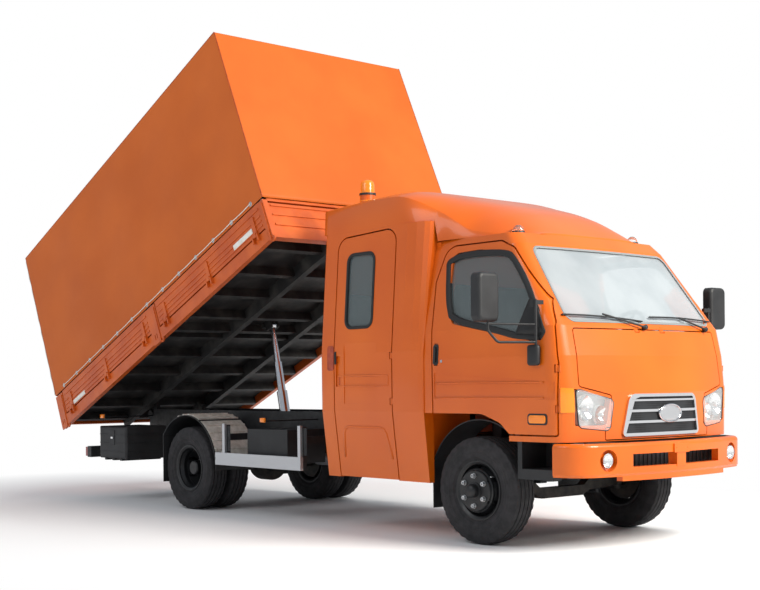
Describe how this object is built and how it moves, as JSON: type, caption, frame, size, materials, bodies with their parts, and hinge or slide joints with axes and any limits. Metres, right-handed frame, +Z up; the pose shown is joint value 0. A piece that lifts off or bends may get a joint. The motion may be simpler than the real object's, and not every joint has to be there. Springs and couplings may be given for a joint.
{
  "type": "light crew-cab dump truck with covered bed",
  "caption": "Cab-over dump truck with a crew module behind the cab and a tilted, cloth-covered tipping bed with drop boards, raised by a telescopic cylinder.",
  "frame": {"origin": "on the ground under the middle of the truck's overall length and width", "axes": "+X forward, +Y to the truck's left, +Z up"},
  "size_m": [8.0594, 2.909, 4.4405],
  "materials": {
    "body_paint": "gloss orange coach paint",
    "chassis_paint": "satin black chassis paint",
    "machined_steel": "turned steel",
    "cast_housing": "rough casting",
    "wheel_paint": "black wheel paint",
    "tyre_rubber": "black tread rubber",
    "window_glass": "clear tempered glass",
    "black_plastic": "grained black moulding",
    "lamp_clear": "clear lamp cover",
    "lamp_amber": "amber lens",
    "lamp_red": "red lens",
    "chrome_trim": "bright chrome",
    "tarpaulin": "coated cloth",
    "seat_fabric": "woven upholstery",
    "guard_metal": "plain aluminium extrusion",
    "dark_metal": "dark grey paint"
  },
  "bodies": {
    "chassis": {"chassis_frame": "chassis_paint", "subframe": "chassis_paint", "front_axle": "cast_housing", "rear_axle": "cast_housing", "leaf_springs": "dark_metal", "powertrain": "cast_housing", "exhaust": "machined_steel", "fuel_tank": "dark_metal", "service_boxes": "black_plastic", "rear_fenders": "black_plastic", "side_guards": "guard_metal", "cab_shell": "body_paint", "windscreen": "window_glass", "front_lamps": "lamp_clear", "amber_lamps": "lamp_amber", "tail_lamps": "lamp_red", "bumper": "body_paint", "steps": "black_plastic", "crew_module": "body_paint", "roof_fairing": "body_paint", "dashboard": "black_plastic", "seats": "seat_fabric"},
    "front_panel": {"front_panel": "body_paint", "grille": "chrome_trim"},
    "knuckle_right": {"knuckle_right": "cast_housing"},
    "knuckle_left": {"knuckle_left": "cast_housing"},
    "tie_rod": {"tie_rod": "dark_metal"},
    "bed": {"bed_frame": "chassis_paint", "bed_rails": "body_paint", "headboard": "body_paint", "tarp_frame": "machined_steel", "tarp_cover": "tarpaulin"},
    "tailgate": {"tailgate": "body_paint"},
    "cylinder_barrel": {"cylinder_barrel": "dark_metal"},
    "cylinder_stage_1": {"cylinder_stage_1": "chrome_trim"},
    "cylinder_stage_2": {"cylinder_stage_2": "chrome_trim"},
    "cylinder_stage_3": {"cylinder_stage_3": "chrome_trim"},
    "front_wheel_right": {"front_rim_right": "wheel_paint", "front_tyre_right": "tyre_rubber"},
    "rear_wheels_right": {"rear_rims_right": "wheel_paint", "rear_tyres_right": "tyre_rubber"},
    "door_right": {"door_front_right": "body_paint", "door_glass_right": "window_glass", "door_trim_right": "black_plastic"},
    "crew_door_right": {"crew_door_right": "body_paint", "crew_glass_right": "window_glass"},
    "board_front_right": {"board_front_right": "body_paint"},
    "board_rear_right": {"board_rear_right": "body_paint"},
    "front_wheel_left": {"front_rim_left": "wheel_paint", "front_tyre_left": "tyre_rubber"},
    "rear_wheels_left": {"rear_rims_left": "wheel_paint", "rear_tyres_left": "tyre_rubber"},
    "door_left": {"door_front_left": "body_paint", "door_glass_left": "window_glass", "door_trim_left": "black_plastic"},
    "crew_door_left": {"crew_door_left": "body_paint", "crew_glass_left": "window_glass"},
    "board_front_left": {"board_front_left": "body_paint"},
    "board_rear_left": {"board_rear_left": "body_paint"}
  },
  "joints": [
    {"name": "steer_right", "type": "hinge", "parent": "chassis", "child": "knuckle_right", "pos_m": [2.90468, -0.72, 0.401], "axis": [0, 0, 1], "range_deg": [-35, 35]},
    {"name": "front_wheel_spin_right", "type": "hinge", "parent": "knuckle_right", "child": "front_wheel_right", "pos_m": [2.90468, -0.825, 0.401], "axis": [0, 1, 0], "continuous": true},
    {"name": "rear_wheel_spin_right", "type": "hinge", "parent": "chassis", "child": "rear_wheels_right", "pos_m": [-0.90532, -0.7475, 0.401], "axis": [0, 1, 0], "continuous": true},
    {"name": "door_hinge_right", "type": "hinge", "parent": "chassis", "child": "door_right", "pos_m": [3.70868, -0.969, 1.2], "axis": [0, 0, 1], "range_deg": [0, 70]},
    {"name": "crew_door_hinge_right", "type": "hinge", "parent": "chassis", "child": "crew_door_right", "pos_m": [2.07668, -1.012, 1.2], "axis": [0, 0, 1], "range_deg": [0, 85]},
    {"name": "board_rear_drop_right", "type": "hinge", "parent": "bed", "child": "board_rear_right", "pos_m": [-2.16133, -1.171, 1.31049], "axis": [0.9132, 0, 0.4075], "range_deg": [0, 170]},
    {"name": "board_front_drop_right", "type": "hinge", "parent": "bed", "child": "board_front_right", "pos_m": [-0.24363, -1.171, 2.16631], "axis": [0.9132, 0, 0.4075], "range_deg": [0, 170]},
    {"name": "steer_left", "type": "hinge", "parent": "chassis", "child": "knuckle_left", "pos_m": [2.90468, 0.72, 0.401], "axis": [0, 0, 1], "range_deg": [-35, 35]},
    {"name": "front_wheel_spin_left", "type": "hinge", "parent": "knuckle_left", "child": "front_wheel_left", "pos_m": [2.90468, 0.825, 0.401], "axis": [0, 1, 0], "continuous": true},
    {"name": "rear_wheel_spin_left", "type": "hinge", "parent": "chassis", "child": "rear_wheels_left", "pos_m": [-0.90532, 0.7475, 0.401], "axis": [0, 1, 0], "continuous": true},
    {"name": "door_hinge_left", "type": "hinge", "parent": "chassis", "child": "door_left", "pos_m": [3.70868, 0.969, 1.2], "axis": [0, 0, -1], "range_deg": [0, 70]},
    {"name": "crew_door_hinge_left", "type": "hinge", "parent": "chassis", "child": "crew_door_left", "pos_m": [2.07668, 1.012, 1.2], "axis": [0, 0, -1], "range_deg": [0, 85]},
    {"name": "board_rear_drop_left", "type": "hinge", "parent": "bed", "child": "board_rear_left", "pos_m": [-2.16133, 1.171, 1.31049], "axis": [-0.9132, 0, -0.4075], "range_deg": [0, 170]},
    {"name": "board_front_drop_left", "type": "hinge", "parent": "bed", "child": "board_front_left", "pos_m": [-0.24363, 1.171, 2.16631], "axis": [-0.9132, 0, -0.4075], "range_deg": [0, 170]},
    {"name": "tie_rod_pivot", "type": "hinge", "parent": "knuckle_right", "child": "tie_rod", "pos_m": [2.72468, -0.68, 0.2985], "axis": [0, 0, 1], "range_deg": [-37.2, 37.2]},
    {"name": "front_panel_lift", "type": "hinge", "parent": "chassis", "child": "front_panel", "pos_m": [3.75668, 0, 1.558], "axis": [0, -1, 0], "range_deg": [0, 60]},
    {"name": "bed_tilt", "type": "hinge", "parent": "chassis", "child": "bed", "pos_m": [-2.57332, 0, 0.889], "axis": [0, -1, 0], "range_deg": [-24.05, 3]},
    {"name": "tailgate_drop", "type": "hinge", "parent": "bed", "child": "tailgate", "pos_m": [-3.11104, 0, 0.88666], "axis": [0, -1, 0], "range_deg": [0, 90]},
    {"name": "cylinder_swing", "type": "hinge", "parent": "chassis", "child": "cylinder_barrel", "pos_m": [-0.55232, 0, 0.65], "axis": [0, -1, 0], "range_deg": [-8.07, 1.01]},
    {"name": "cylinder_slide_1", "type": "slide", "parent": "cylinder_barrel", "child": "cylinder_stage_1", "axis": [-0.2195, 0, 0.9756], "range_m": [-0.27446, 0.03467]},
    {"name": "cylinder_slide_2", "type": "slide", "parent": "cylinder_stage_1", "child": "cylinder_stage_2", "axis": [-0.2195, 0, 0.9756], "range_m": [-0.27446, 0.03467]},
    {"name": "cylinder_slide_3", "type": "slide", "parent": "cylinder_stage_2", "child": "cylinder_stage_3", "axis": [-0.2195, 0, 0.9756], "range_m": [-0.27446, 0.03467]}
  ],
  "couplings": [
    {"joint": "steer_left", "follows": "steer_right", "ratio": 1},
    {"joint": "tie_rod_pivot", "follows": "steer_right", "ratio": -1.056},
    {"joint": "cylinder_swing", "follows": "bed_tilt", "ratio": 0.335},
    {"joint": "cylinder_slide_1", "follows": "bed_tilt", "m_per_rad": 0.65267},
    {"joint": "cylinder_slide_2", "follows": "bed_tilt", "m_per_rad": 0.65267},
    {"joint": "cylinder_slide_3", "follows": "bed_tilt", "m_per_rad": 0.65267}
  ]
}
